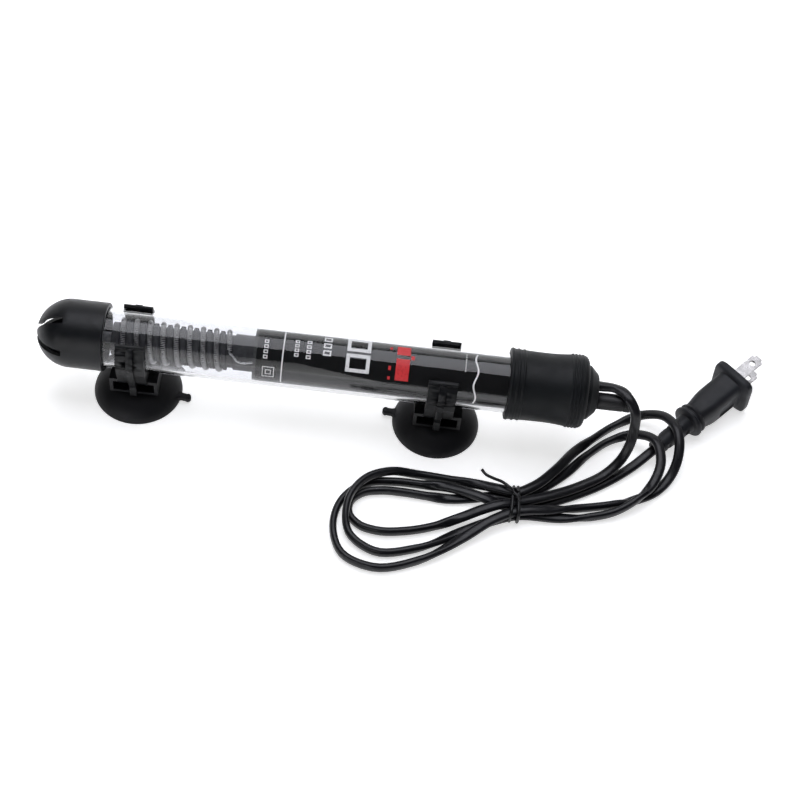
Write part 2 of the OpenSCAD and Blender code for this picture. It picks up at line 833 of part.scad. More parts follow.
module cup_1() { color("#2c2d30") cup(clip_1_x, 1, -8); }
module cup_2() { color("#2c2d30") cup(clip_2_x, -1, -5); }

guard_cap();
glass_tube();
base_pad();
ceramic_former();
heating_coil();
coil_leads();
heat_shield();
inner_sleeve();
thermostat_board();
strip_post();
bimetal_strip();
moving_contact();
contact_leaf();
fixed_contact();
snap_magnet();
adjuster_nut();
control_spindle();
control_knob();
spindle_seal();
indicator_lamp();
lamp_resistor();
terminal_pins();
live_wire();
neutral_wire();
tube_bung();
bung_rings();
rubber_boot();
cord_tail();
strain_relief();
power_cord();
cord_tie();
plug_body();
plug_blades();
clip_1();
clip_2();
cup_1();
cup_2();
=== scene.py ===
# Looks of the submersible aquarium heater: a glass tube with a wound ceramic former
# inside, a slotted guard, a rubber boot with the knob, two clips with suction cups,
# and a flat mains cord in a tied hank with its plug.
# Lengths in the tables below are in millimetres; mesh coordinates are in metres.
import math

import bmesh
import bpy
from mathutils import Matrix, Vector


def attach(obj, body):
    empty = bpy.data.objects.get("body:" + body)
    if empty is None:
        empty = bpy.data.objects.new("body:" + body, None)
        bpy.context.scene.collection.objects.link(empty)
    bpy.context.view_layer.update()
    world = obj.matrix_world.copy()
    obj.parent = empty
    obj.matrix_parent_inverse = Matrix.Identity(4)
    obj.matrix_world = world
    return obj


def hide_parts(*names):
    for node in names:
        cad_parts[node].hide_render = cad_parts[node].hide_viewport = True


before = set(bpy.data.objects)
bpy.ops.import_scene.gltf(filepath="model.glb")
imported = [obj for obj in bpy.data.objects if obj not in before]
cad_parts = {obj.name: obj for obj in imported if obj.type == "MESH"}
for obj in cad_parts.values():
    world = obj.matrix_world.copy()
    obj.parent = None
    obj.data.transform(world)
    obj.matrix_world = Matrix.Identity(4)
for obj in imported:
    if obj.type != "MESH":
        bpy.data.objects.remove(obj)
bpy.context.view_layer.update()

MM = 0.001
AXIS_Z = 38.0
TUBE_R = 14.0
BORE_R = 12.2
# Direction that faces the camera from the tube's axis, from straight up towards +Y
FRONT = math.radians(-36)


# ---- Camera ----

def add_camera():
    place = Vector((0.0167, -0.4652, 0.6498))
    target = Vector((0.0315, -0.0035, 0.020))
    roll = math.radians(8.04)
    ahead = (target - place).normalized()
    right = ahead.cross(Vector((0, 0, 1))).normalized()
    up = right.cross(ahead)
    tilted_right = right * math.cos(roll) + up * math.sin(roll)
    tilted_up = up * math.cos(roll) - right * math.sin(roll)
    data = bpy.data.cameras.new("camera")
    data.lens = 74.3
    data.sensor_width = 36
    data.clip_start = 0.01
    camera = bpy.data.objects.new("camera", data)
    turn = Matrix((tilted_right, tilted_up, -ahead)).transposed()
    camera.matrix_world = Matrix.Translation(place) @ turn.to_4x4()
    bpy.context.scene.collection.objects.link(camera)
    bpy.context.scene.camera = camera


# ---- Mesh tools ----

def new_piece(name, verts, faces, body, smooth=45):
    """A mesh object from points in millimetres, riding on a CAD body."""
    mesh = bpy.data.meshes.new(name)
    mesh.from_pydata([Vector(v) * MM for v in verts], [], faces)
    mesh.validate()
    edit = bmesh.new()
    edit.from_mesh(mesh)
    bmesh.ops.remove_doubles(edit, verts=edit.verts, dist=1e-7)
    bmesh.ops.recalc_face_normals(edit, faces=edit.faces)
    edit.to_mesh(mesh)
    edit.free()
    piece = bpy.data.objects.new(name, mesh)
    bpy.context.scene.collection.objects.link(piece)
    if body:
        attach(piece, body)
    shade(piece, smooth)
    return piece


def shade(piece, angle=45):
    """Smooth shading, with edges sharper than the angle kept crisp."""
    mesh = piece.data
    mesh.shade_smooth()
    mesh.set_sharp_from_angle(angle=math.radians(angle))


def apply_modifiers(piece):
    """Bakes a piece's modifiers into its mesh."""
    graph = bpy.context.evaluated_depsgraph_get()
    graph.update()
    result = bpy.data.meshes.new_from_object(piece.evaluated_get(graph))
    piece.modifiers.clear()
    old = piece.data
    piece.data = result
    bpy.data.meshes.remove(old)


def combine(piece, tool, operation):
    """Cuts a tool out of a piece, or fuses it on, and removes the tool."""
    step = piece.modifiers.new("combine", "BOOLEAN")
    step.operation = operation
    step.solver = "MANIFOLD"
    step.object = tool
    apply_modifiers(piece)
    bpy.data.objects.remove(tool)


def soften(piece, width, segments=2, angle=35):
    """Rounds a piece's hard edges; width in millimetres."""
    step = piece.modifiers.new("edges", "BEVEL")
    step.width = width * MM
    step.segments = segments
    step.limit_method = "ANGLE"
    step.angle_limit = math.radians(angle)
    step.use_clamp_overlap = True
    step.harden_normals = False


def refine_node(name, width, segments=2):
    """Rounds the hard edges of a CAD node that is shown as it is."""
    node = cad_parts[name]
    weld = node.modifiers.new("weld", "WELD")
    weld.merge_threshold = 1e-6
    flat = node.modifiers.new("flat", "DECIMATE")
    flat.decimate_type = "DISSOLVE"
    flat.angle_limit = math.radians(0.5)
    soften(node, width, segments)
    return node


def lathe(name, profile, body, at=(0, AXIS_Z), closed=True, steps=96, smooth=45):
    """Turns (x, radius) points round a line along X at the given (y, z)."""
    verts = []
    count = len(profile)
    for x, r in profile:
        for k in range(steps):
            a = 2 * math.pi * k / steps
            verts.append((x, at[0] + r * math.sin(a), at[1] + r * math.cos(a)))
    faces = []
    for i in range(count if closed else count - 1):
        j = (i + 1) % count
        for k in range(steps):
            m = (k + 1) % steps
            faces.append((i * steps + k, i * steps + m, j * steps + m, j * steps + k))
    return new_piece(name, verts, faces, body, smooth)


def arc(centre, radius, start, end, steps):
    """Points on a circle, from one angle to another in degrees."""
    points = []
    for i in range(steps + 1):
        a = math.radians(start + (end - start) * i / steps)
        points.append((centre[0] + radius * math.cos(a), centre[1] + radius * math.sin(a)))
    return points


def tube_faces(rings, sides, closed):
    faces = []
    for i in range(rings if closed else rings - 1):
        j = (i + 1) % rings
        for k in range(sides):
            m = (k + 1) % sides
            faces.append((i * sides + k, j * sides + k, j * sides + m, i * sides + m))
    if not closed:
        faces.append(tuple(range(sides - 1, -1, -1)))
        faces.append(tuple(range((rings - 1) * sides, rings * sides)))
    return faces


def oval(thick, wide, sides, power=2.0):
    """Outline of a rounded flat bar; power above 2 squares it off."""
    points = []
    for k in range(sides):
        a = 2 * math.pi * k / sides
        c = math.cos(a)
        s = math.sin(a)
        x = math.copysign(abs(c) ** (2 / power), c) * thick / 2
        y = math.copysign(abs(s) ** (2 / power), s) * wide / 2
        points.append((x, y))
    return points


def sweep(points, frames, outlines):
    """Vertices of outlines set round points; a frame is (first axis, second axis)."""
    verts = []
    for point, (first, second), outline in zip(points, frames, outlines):
        for a, b in outline:
            verts.append(point + first * a + second * b)
    return verts


def carried_frames(points, start, closed=False):
    """Frames that follow a line without twisting, from a first direction."""
    frames = []
    side = Vector(start)
    count = len(points)
    for i, point in enumerate(points):
        before = points[i - 1] if i or closed else point
        after = points[(i + 1) % count] if i < count - 1 or closed else point
        along = (after - before).normalized()
        side = (side - along * side.dot(along)).normalized()
        frames.append((side, along.cross(side)))
    return frames


def smooth_line(route, steps):
    """A smooth curve through points, with the same number of steps in each stretch."""
    points = []
    last = len(route) - 1
    for i in range(last):
        b = route[i]
        c = route[i + 1]
        a = route[i - 1] if i else 2 * b - c
        d = route[i + 2] if i < last - 1 else 2 * c - b
        for k in range(steps):
            t = k / steps
            bend = 2 * a - 5 * b + 4 * c - d
            turn = 3 * b - a - 3 * c + d
            points.append(0.5 * (2 * b + (c - a) * t + bend * t * t + turn * t ** 3))
    points.append(route[-1])
    return points


def wire(name, route, radius, body, sides=12, closed=False, steps=8):
    """A round wire through points in millimetres."""
    points = smooth_line([Vector(p) for p in route], steps)
    if closed:
        points = points[:-1]
    start = Vector((0.3, 0.9, 0.1))
    frames = carried_frames(points, start, closed)
    outline = oval(2 * radius, 2 * radius, sides)
    verts = sweep(points, frames, [outline] * len(points))
    faces = tube_faces(len(points), sides, closed)
    return new_piece(name, verts, faces, body, 60)


def block(low, high):
    """Corners and faces of a box, as a tool for cutting."""
    verts = [(x, y, z) for x in (low[0], high[0]) for y in (low[1], high[1])
             for z in (low[2], high[2])]
    faces = [(0, 1, 3, 2), (4, 6, 7, 5), (0, 4, 5, 1), (2, 3, 7, 6), (0, 2, 6, 4), (1, 5, 7, 3)]
    return verts, faces


# ---- Materials ----

class Look:
    """A material's nodes, built on one Principled shader."""

    def __init__(self, name):
        self.material = bpy.data.materials.new(name)
        self.material.use_nodes = True
        self.tree = self.material.node_tree
        self.shader = self.tree.nodes["Principled BSDF"]
        self.coord = self.add("ShaderNodeTexCoord")

    def add(self, kind, **values):
        node = self.tree.nodes.new(kind)
        for key, value in values.items():
            setattr(node, key, value)
        return node

    def link(self, source, target):
        self.tree.links.new(source, target)

    def noise(self, scale, detail=3.0, stretch=(1, 1, 1), rough=0.5):
        place = self.add("ShaderNodeMapping")
        place.inputs["Scale"].default_value = stretch
        self.link(self.coord.outputs["Object"], place.inputs["Vector"])
        node = self.add("ShaderNodeTexNoise")
        node.inputs["Scale"].default_value = scale
        node.inputs["Detail"].default_value = detail
        node.inputs["Roughness"].default_value = rough
        self.link(place.outputs["Vector"], node.inputs["Vector"])
        return node.outputs["Fac"]

    def spread(self, value, low, high, from_low=0.3, from_high=0.7):
        node = self.add("ShaderNodeMapRange")
        node.inputs["From Min"].default_value = from_low
        node.inputs["From Max"].default_value = from_high
        node.inputs["To Min"].default_value = low
        node.inputs["To Max"].default_value = high
        self.link(value, node.inputs["Value"])
        return node.outputs["Result"]

    def mix(self, factor, first, second):
        node = self.add("ShaderNodeMix", data_type="RGBA")
        for key, value in (("A", first), ("B", second)):
            socket = [s for s in node.inputs if s.name == key and s.type == "RGBA"][0]
            if isinstance(value, tuple):
                socket.default_value = (*value, 1)
            else:
                self.link(value, socket)
        if isinstance(factor, float):
            node.inputs[0].default_value = factor
        else:
            self.link(factor, node.inputs[0])
        return [s for s in node.outputs if s.type == "RGBA"][0]

    def bump(self, height, distance, strength=1.0, normal=None):
        node = self.add("ShaderNodeBump")
        node.inputs["Distance"].default_value = distance * MM
        node.inputs["Strength"].default_value = strength
        self.link(height, node.inputs["Height"])
        if normal:
            self.link(normal, node.inputs["Normal"])
        return node.outputs["Normal"]

    def set(self, name, value):
        socket = self.shader.inputs[name]
        if isinstance(value, bpy.types.NodeSocket):
            self.link(value, socket)
        elif isinstance(value, tuple):
            socket.default_value = (*value, 1)
        else:
            socket.default_value = value


def moulded(name, dark, light, rough, grain=1500, depth=0.02, patch=60, streak=None,
            shine=0.3):
    """Moulded plastic or rubber: patchy colour and gloss, and a fine surface grain."""
    look = Look(name)
    look.set("Specular IOR Level", shine)
    cloud = look.noise(patch, 4)
    look.set("Base Color", look.mix(look.spread(cloud, 0.0, 1.0), dark, light))
    gloss = look.noise(patch * 2.5, 3, streak or (1, 1, 1))
    look.set("Roughness", look.spread(gloss, rough - 0.05, rough + 0.07))
    fine = look.noise(grain, 2, streak or (1, 1, 1))
    look.set("Normal", look.bump(fine, depth))
    return look.material


def metal(name, dark, light, rough, stretch=(1, 1, 1), grain=900, depth=0.004):
    """Metal with drawn or brushed streaks."""
    look = Look(name)
    look.set("Metallic", 1.0)
    cloud = look.noise(120, 4, stretch)
    look.set("Base Color", look.mix(look.spread(cloud, 0.0, 1.0), dark, light))
    look.set("Roughness", look.spread(look.noise(300, 3, stretch), rough - 0.06, rough + 0.1))
    look.set("Normal", look.bump(look.noise(grain, 3, stretch), depth))
    return look.material


def glass(name, tint, rough=0.0):
    """Clear glass; rays from lamps pass straight through, so that what is inside is lit."""
    look = Look(name)
    look.set("Transmission Weight", 1.0)
    look.set("IOR", 1.47)
    look.set("Roughness", rough)
    look.set("Base Color", tint)
    clear = look.add("ShaderNodeBsdfTransparent")
    clear.inputs["Color"].default_value = (0.96, 0.97, 0.97, 1)
    path = look.add("ShaderNodeLightPath")
    choose = look.add("ShaderNodeMixShader")
    output = look.tree.nodes["Material Output"]
    look.link(path.outputs["Is Shadow Ray"], choose.inputs[0])
    look.link(look.shader.outputs[0], choose.inputs[1])
    look.link(clear.outputs[0], choose.inputs[2])
    look.link(choose.outputs[0], output.inputs["Surface"])
    return look.material


def paint(piece, material):
    piece.data.materials.clear()
    piece.data.materials.append(material)
    return piece


def paint_node(name, material):
    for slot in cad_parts[name].material_slots:
        slot.material = material


# ---- Cord ----

FLAT = None
EDGE = (0, 0, 1)
CORD_WIDE = 4.8
CORD_THICK = 3.4
CORD_EXIT = (125, 2.55, 40.55)
CORD_END = (156, -4.8, 5.6)

# Points of the route, each with the direction of the cord's wide side: level and
# square to the route, on edge, or a given direction
ROUTE = [
    # out of the boot, over the knob and down to the surface
    (CORD_EXIT, (0, -0.7, 0.7)), ((129.4, 2, 41.1), (0, -0.7, 0.7)),
    ((133.8, -0.6, 42), (-0.66, -0.74, 0.1)), ((137.5, -5, 41.4), (-0.78, -0.52, -0.29)),
    ((140.5, -8.7, 37.4), (-0.88, -0.1, -0.39)), ((141.5, -10, 31.4), (-0.97, -0.15, -0.2)),
    ((142, -10.4, 25), (-0.98, 0.1, 0)), ((141.8, -12, 17.5), (-0.95, 0.2, 0)),
    ((139.2, -16, 10.6), (-0.8, 0.6, 0)), ((133, -22, 6.2), FLAT), ((121, -30.4, 5.2), FLAT),
    ((107, -38, 5.9), FLAT), ((90, -45, 6.9), FLAT),
    # left loop, inner
    ((83, -47.5, 7.7), FLAT), ((75, -50.8, 6.8), FLAT), ((66, -54.8, 4.6), FLAT),
    ((54, -60.2, 2.9), EDGE), ((40, -64.6, 2.5), EDGE), ((27, -66, 2.5), EDGE),
    ((18.8, -63.9, 2.5), EDGE), ((14, -59, 2.5), EDGE), ((14, -51.6, 2.5), EDGE),
    ((18.8, -46.4, 2.5), EDGE), ((27, -44, 2.5), EDGE), ((38, -43.6, 2.5), EDGE),
    ((49, -44.2, 2.5), EDGE), ((60, -44, 1.95), FLAT), ((70, -42.2, 1.95), FLAT),
    ((80, -40.2, 2.6), FLAT), ((90, -39.8, 3.3), FLAT),
    # right loop, inner
    ((100, -34.8, 3.2), FLAT), ((112, -24.4, 2.4), FLAT), ((125, -9.6, 2.5), EDGE),
    ((136, -0.4, 3.2), EDGE), ((147, 1.4, 7.4), FLAT), ((155, -3.6, 11.5), FLAT),
    ((158, -14.6, 10.8), FLAT), ((154.8, -26, 7.8), FLAT), ((147.5, -35, 6.2), EDGE),
    ((138, -41.5, 3.8), EDGE), ((126, -45.6, 2.6), EDGE), ((112, -47.8, 2.05), FLAT),
    ((90, -50.1, 3.3), FLAT),
    # left loop, middle
    ((78, -54.8, 2.4), FLAT), ((66, -61.5, 2.05), FLAT), ((45, -73.6, 2.5), EDGE),
    ((27, -77, 2.5), EDGE), ((14.5, -69, 3.4), EDGE), ((12.6, -54.5, 8), EDGE),
    ((19.5, -42, 8.4), EDGE), ((31, -35.4, 6.8), EDGE), ((44, -33.2, 3.2), EDGE),
    ((60, -33.8, 2.65), EDGE), ((76, -36.6, 5.2), FLAT), ((83, -38.4, 6.7), FLAT),
    ((90, -39.4, 7), FLAT),
    # right loop, outer
    ((98.6, -34.6, 7), FLAT), ((108.5, -24, 6.7), FLAT), ((117, -11.8, 5.2), FLAT),
    ((126, -1.6, 3), EDGE), ((138, 9.2, 2.7), EDGE), ((150, 14.2, 6.2), FLAT),
    ((160, 10.6, 12), FLAT), ((165.6, 1, 14.2), FLAT), ((166.6, -10, 10.4), FLAT),
    ((163.4, -19.6, 4.8), FLAT), ((157, -27, 2.2), FLAT), ((148, -32.5, 2.05), FLAT),
    ((138, -36.8, 2.6), EDGE), ((118, -42.2, 2.9), EDGE), ((106, -46.2, 5.6), FLAT),
    ((90, -50.1, 6.9), FLAT),
    # left loop, outer
    ((80, -55.6, 6.4), FLAT), ((68, -65, 4.4), FLAT), ((47, -79.6, 2.5), EDGE),
    ((27, -85.5, 2.5), EDGE), ((12.5, -80, 2.5), EDGE), ((7, -66, 2.5), EDGE),
    ((9.8, -51, 2.5), EDGE), ((20, -40.8, 2.5), EDGE), ((34, -38.2, 2.5), EDGE),
    ((46, -38.3, 2.7), EDGE), ((58, -39.2, 4.4), FLAT), ((69, -41.9, 5.6), FLAT),
    ((78, -44.5, 5.6), FLAT), ((84.5, -45.4, 3.8), FLAT), ((91, -44.8, 3.2), FLAT),
    # on to the plug
    ((100, -42.6, 2.1), FLAT), ((113, -36.8, 1.95), FLAT), ((130, -27, 1.95), FLAT),
    ((145, -15.4, 3), FLAT), (CORD_END, FLAT),
]


def wide_sides(points):
    """The wide side's direction at each of the route's points, without sudden flips."""
    sides = []
    for i, (point, side) in enumerate(ROUTE):
        if side is FLAT:
            along = points[min(i + 1, len(points) - 1)] - points[max(i - 1, 0)]
            side = Vector((-along.y, along.x, 0)).normalized()
        else:
            side = Vector(side)
        if sides and side.dot(sides[-1]) < -0.05:
            side = -side
        sides.append(side)
    return sides


def headings(points):
    """A curve's direction at each point, weighted by the lengths beside it."""
    result = []
    last = len(points) - 1
    for i in range(last + 1):
        before = points[i] - points[i - 1] if i else points[1] - points[0]
        after = points[i + 1] - points[i] if i < last else points[last] - points[last - 1]
        a = before.length
        b = after.length
        result.append((before * b / a + after * a / b) / (a + b))
    return result


def cord_line(steps):
    """Points along the cord and the direction of its wide side at each."""
    route = [Vector(p) for p, _ in ROUTE]
    turns = headings(route)
    hints = wide_sides(route)
    points = []
    sides = []
    for i in range(len(route) - 1):
        b = route[i]
        c = route[i + 1]
        size = (c - b).length
        for k in range(steps):
            t = k / steps
            start = (2 * t ** 3 - 3 * t * t + 1) * b
            leave = (t ** 3 - 2 * t * t + t) * size * turns[i]
            end = (3 * t * t - 2 * t ** 3) * c
            reach = (t ** 3 - t * t) * size * turns[i + 1]
            points.append(start + leave + end + reach)
            sides.append(hints[i].lerp(hints[i + 1], t))
    points.append(route[-1])
    sides.append(hints[-1])
    return points, sides


def cord_frames(points, sides):
    frames = []
    last = len(points) - 1
    for i, side in enumerate(sides):
        along = (points[min(i + 1, last)] - points[max(i - 1, 0)]).normalized()
        wide = (side - along * side.dot(along)).normalized()
        frames.append((along.cross(wide), wide))
    return frames


def cord_outline():
    """Section of a two-core flat cord: round ends and flat sides."""
    return oval(CORD_THICK, CORD_WIDE, 28, 2.5)


def power_cord():
    points, sides = cord_line(6)
    frames = cord_frames(points, sides)
    outline = cord_outline()
    verts = sweep(points, frames, [outline] * len(points))
    faces = tube_faces(len(points), len(outline), False)
    return new_piece("mains_cord", verts, faces, "heater", 60), points


def tie_wrap(name, x, lean):
    """One turn of the tie round the hank."""
    bottom = 0.85
    middle_y = -45
    half_w = 8.4
    half_h = 4.5
    route = []
    for k in range(24):
        a = 2 * math.pi * k / 24
        c = math.cos(a)
        s = math.sin(a)
        y = middle_y + math.copysign(abs(c) ** 0.6, c) * half_w
        z = bottom + half_h + math.copysign(abs(s) ** 0.6, s) * half_h
        route.append((x + lean * c, y, z))
    route.append(route[0])
    return wire(name, route, 0.8, "heater", 14, True, 4)


def cord_tie():
    """A coated wire tie: two turns, a twist on top and two free ends."""
    parts = [tie_wrap("tie_wraps", 88.4, 0.5), tie_wrap("tie_second", 91.2, -0.4)]
    twist = [(88.4, -40.5, 10.1), (86.2, -39.2, 10.9), (83, -36.8, 10.6), (79, -34.6, 9.4),
             (75.4, -32.4, 8.6), (73.2, -30.2, 9.2)]
    parts.append(wire("tie_tail", twist, 0.75, "heater", 12))
    knot = [(91.3, -46, 10.2), (90.2, -43.6, 10.9), (88.8, -42.4, 11), (88.0, -40.9, 10.7),
            (89.6, -39.6, 10.3), (90.9, -40.9, 10.2)]
    parts.append(wire("tie_knot", knot, 0.75, "heater", 12))
    return join(parts)


def join(parts):
    """Makes one piece of several."""
    first = parts[0]
    edit = bmesh.new()
    for part in parts:
        edit.from_mesh(part.data)
    edit.to_mesh(first.data)
    edit.free()
    for part in parts[1:]:
        bpy.data.objects.remove(part)
    shade(first, 45)
    return first


# ---- Strain relief, boot and knob ----

def relief():
    """The moulded sleeve round the cord: straight through the boot, then bent with it."""
    line, sides = cord_line(6)
    straight = [Vector((x, CORD_EXIT[1], CORD_EXIT[2])) for x in range(103, 125, 2)]
    outside = 16
    points = straight + line[:outside]
    frames = cord_frames(points, [sides[0]] * len(straight) + sides[:outside])
    outlines = []
    for i in range(len(points)):
        past = max(0, i - len(straight) + 2) / outside
        grow = 1.4 - 1.15 * past ** 0.8
        outlines.append(oval(CORD_THICK + grow, CORD_WIDE + grow, 28, 2.4))
    verts = sweep(points, frames, outlines)
    faces = tube_faces(len(points), 28, False)
    return new_piece("cord_relief", verts, faces, "heater", 60)


BOOT_START = 80
BOOT_END = 122
BOOT_R = 17.0
WAIST_R = 16.2


def waist_at(x):
    t = (x - 97) / (17 if x < 97 else 13)
    return WAIST_R + (BOOT_R - WAIST_R) * min(1, t * t * (0.6 if x < 97 else 1.15))


def boot_radius(x):
    """Outside radius of the boot: beads, a waist, fine ribs, a shoulder and a cone."""
    sizes = []
    if x <= 114:
        sizes.append(waist_at(x))
    for offset in (0.95, 3.7, 6.3):
        away = abs(x - BOOT_START - offset)
        if away < 0.95:
            centre = waist_at(BOOT_START + offset) - 0.6
            sizes.append(centre + math.sqrt(0.95 ** 2 - away ** 2))
    for k in range(4):
        away = abs(x - BOOT_START - 29 - 1.55 * k)
        if away < 0.6:
            sizes.append(BOOT_R - 0.25 + math.sqrt(0.6 ** 2 - away ** 2))
    if 111.4 < x < 116.55:
        sizes.append(BOOT_R - 2.6 + math.sqrt(2.6 ** 2 - (x - 114) ** 2))
    if 115 <= x <= 118.2:
        sizes.append(12.9 - 0.3 * (x - 115) / 3.2)
    if x > 118.2:
        sizes.append(12.6 - 3.8 * (x - 118.2) / 3.8)
    return max(sizes)


def rubber_boot():
    bore = TUBE_R + 0.02
    outside = [(BOOT_START, bore), (BOOT_START, waist_at(BOOT_START) - 0.5)]
    steps = 300
    for i in range(1, steps):
        x = BOOT_START + (BOOT_END - BOOT_START - 0.35) * i / steps
        outside.append((x, boot_radius(x)))
    outside += [(121.85, 8.75), (BOOT_END, 8.3), (BOOT_END, 0)]
    profile = [(112, 0), (112, bore)] + outside
    boot = lathe("boot", profile, "heater", closed=False, steps=128)
    bore_tool = lathe("knob_hole", [(118.5, 0), (118.5, 4.3), (124, 4.3), (124, 0)], None,
                      at=(KNOB_AT[0], AXIS_Z + KNOB_AT[1]), closed=False, steps=48)
    combine(boot, bore_tool, "DIFFERENCE")
    shade(boot, 40)
    return boot


KNOB_AT = (-2.3, -2.3)
KNOB_R = 4.0


def control_knob():
    tip = 1.4
    end = 139
    profile = [(120.2, 0), (120.2, KNOB_R - 0.3), (120.5, KNOB_R)]
    profile += [(134.6, KNOB_R), (134.8, KNOB_R - 0.22), (135.2, KNOB_R - 0.22), (135.4, KNOB_R)]
    profile += [(end - tip + x, KNOB_R - tip + r) for r, x in arc((0, 0), tip, 0, 90, 8)]
    profile += [(end, 1.2), (end - 0.3, 0.8), (end - 0.3, 0)]
    at = (KNOB_AT[0], AXIS_Z + KNOB_AT[1])
    return lathe("knob_cap", profile, "knob", at=at, closed=False, steps=64)


# ---- Glass tube and what shows through it ----

def glass_tube():
    start = -127
    corner = 9
    wall = TUBE_R - BORE_R
    centre = start + corner
    outer = [(x, TUBE_R - corner + r) for x, r in arc((centre, 0), corner, 180, 90, 16)]
    inner = [(x, BORE_R - corner + wall + r)
             for x, r in arc((centre, 0), corner - wall, 90, 180, 16)]
    profile = [(start, 0)] + outer + [(100, TUBE_R), (100, BORE_R)] + inner
    profile.append((start + wall, 0))
    return lathe("tube", profile, "heater", closed=False, steps=144, smooth=50)


def mark(x0, x1, turn0, turn1, wave=0.0):
    """A printed patch on the glass, as a thin curved plate; turns are in degrees."""
    inner = TUBE_R + 0.01
    outer = TUBE_R + 0.05
    count = max(2, round(abs(turn1 - turn0) / 3))
    verts = []
    for i in range(count + 1):
        share = i / count
        a = math.radians(turn0 + (turn1 - turn0) * share)
        shift = wave * math.sin(share * 4 * math.pi)
        for x, r in ((x0, inner), (x1, inner), (x1, outer), (x0, outer)):
            verts.append((x + shift, r * math.sin(a), AXIS_Z + r * math.cos(a)))
    faces = [(0, 1, 2, 3)]
    last = 4 * count
    faces.append((last + 3, last + 2, last + 1, last))
    for i in range(count):
        for k in range(4):
            m = (k + 1) % 4
            faces.append((4 * i + k, 4 * i + 4 + k, 4 * i + 4 + m, 4 * i + m))
    return new_piece("print_mark", verts, faces, "heater", 30)


def bars(rows):
    """Printed bars: (x0, x1, turn0, turn1) for each."""
    return [mark(*row) for row in rows]


def ring(x0, x1, low, high, stroke):
    """A printed rectangle's outline; turns in degrees, stroke in millimetres."""
    turn = math.degrees(stroke / TUBE_R)
    return bars([(x0, x0 + stroke, low, high), (x1 - stroke, x1, low, high),
                 (x0, x1, low, low + turn), (x0, x1, high - turn, high)])


def white_marks():
    """Plain white marks in place of the print: lines, boxes and a double square."""
    parts = [mark(64.1, 64.9, -89, 17, 0.8), mark(-24.8, -24.2, -91, 19)]
    for k in range(4):
        parts += ring(-33.4, -31.4, -43 + 10 * k, -36 + 10 * k, 0.45)
        parts += ring(-19.4, -17.4, -33 + 9 * k, -26.5 + 9 * k, 0.45)
        parts += ring(-14, -11.8, -35 + 10 * k, -28 + 10 * k, 0.5)
    for k in range(3):
        parts += ring(-6.4, -2.6, -25 + 15 * k, -14 + 15 * k, 0.7)
    for k in range(7):
        parts.append(mark(59.1, 59.6, -25 + 6 * k, -22 + 6 * k))
    # two large boxes in place of the large figures
    parts += ring(4.4, 15.4, -50, -15, 1.7)
    parts += ring(4.4, 15.4, -10, 22, 1.7)
    # double square
    parts += ring(-33.3, -27.8, -80, -58, 0.35)
    parts += ring(-31.9, -29.2, -74, -64, 0.35)
    return join(parts)


def red_marks():
    """A plain red panel with a gap, in place of the maker's sign."""
    return join(bars([(27.4, 33.6, -6, 14), (27.4, 33.6, -56, -14), (34, 35.6, -14, -6),
                      (24, 25.2, -56, -50), (24, 25.2, -38, -30), (24, 25.2, 4, 10)]))


COIL_RIGHT = -49.2
COIL_PITCH = 6.15
COIL_TURNS = 8.5
COIL_LEFT = COIL_RIGHT - COIL_TURNS * COIL_PITCH
COIL_R = 8.9
COIL_D = 2.5


def spiral_angle(x):
    return 2 * math.pi * (COIL_RIGHT - x) / COIL_PITCH + FRONT


def on_spiral(x, r):
    a = spiral_angle(x)
    return Vector((x, r * math.sin(a), AXIS_Z + r * math.cos(a)))


def heating_coil():
    """Resistance wire wound as a fine coil, and the coil wound on the former."""
    wire_d = 0.36
    small_pitch = 0.92
    small_r = (COIL_D - wire_d) / 2
    round_trip = math.hypot(2 * math.pi * COIL_R, COIL_PITCH) * COIL_TURNS
    small_turns = round(round_trip / small_pitch)
    per_turn = 12
    count = small_turns * per_turn
    points = []
    for i in range(count + 1):
        x = COIL_LEFT + (COIL_RIGHT - COIL_LEFT) * i / count
        a = spiral_angle(x)
        out = Vector((0, math.sin(a), math.cos(a)))
        along = (on_spiral(x + 0.01, COIL_R) - on_spiral(x - 0.01, COIL_R)).normalized()
        side = along.cross(out)
        turn = 2 * math.pi * i / per_turn
        centre = on_spiral(x, COIL_R)
        points.append(centre + (out * math.cos(turn) + side * math.sin(turn)) * small_r)
    frames = carried_frames(points, (0.2, 0.9, 0.3))
    verts = sweep(points, frames, [oval(wire_d, wire_d, 6)] * len(points))
    faces = tube_faces(len(points), 6, False)
    return new_piece("element_wire", verts, faces, "heater", 80)


def element_leads():
    """The wire's straight ends: one to the shield in front, one back through the former."""
    def dip(x, degrees):
        a = math.radians(-degrees)
        return (x, 9.5 * math.sin(a), AXIS_Z + 9.5 * math.cos(a))

    y = 9.6 * math.sin(FRONT)
    z = AXIS_Z + 9.6 * math.cos(FRONT)
    front = [on_spiral(COIL_RIGHT - 0.25, COIL_R), on_spiral(COIL_RIGHT + 0.1, COIL_R + 0.2),
             dip(-47.6, 48), dip(-45.4, 62), dip(-42.4, 66), dip(-39.4, 62), dip(-36.5, 58),
             (-26, y, z), (0, y, z), (7, y, z), (8, y, z - 1), (8, y, z - 6), (8, y, AXIS_Z - 4.6)]
    first = wire("element_leads", front, 0.5, "heater", 14)
    end = on_spiral(COIL_LEFT, COIL_R + 0.2)
    out = Vector((0, end.y, end.z - AXIS_Z))
    turn_x = -104.6
    back = [end, (-103.2, end.y, end.z), (-104.4, end.y - out.y * 0.1, end.z - out.z * 0.1),
            (turn_x, out.y * 0.5, AXIS_Z + out.z * 0.5), (turn_x, 0, AXIS_Z),
            (-102, 0, AXIS_Z), (0, 0, AXIS_Z), (8, 0, AXIS_Z)]
    second = wire("lead_back", back, 0.5, "heater", 14)
    return join([first, second])


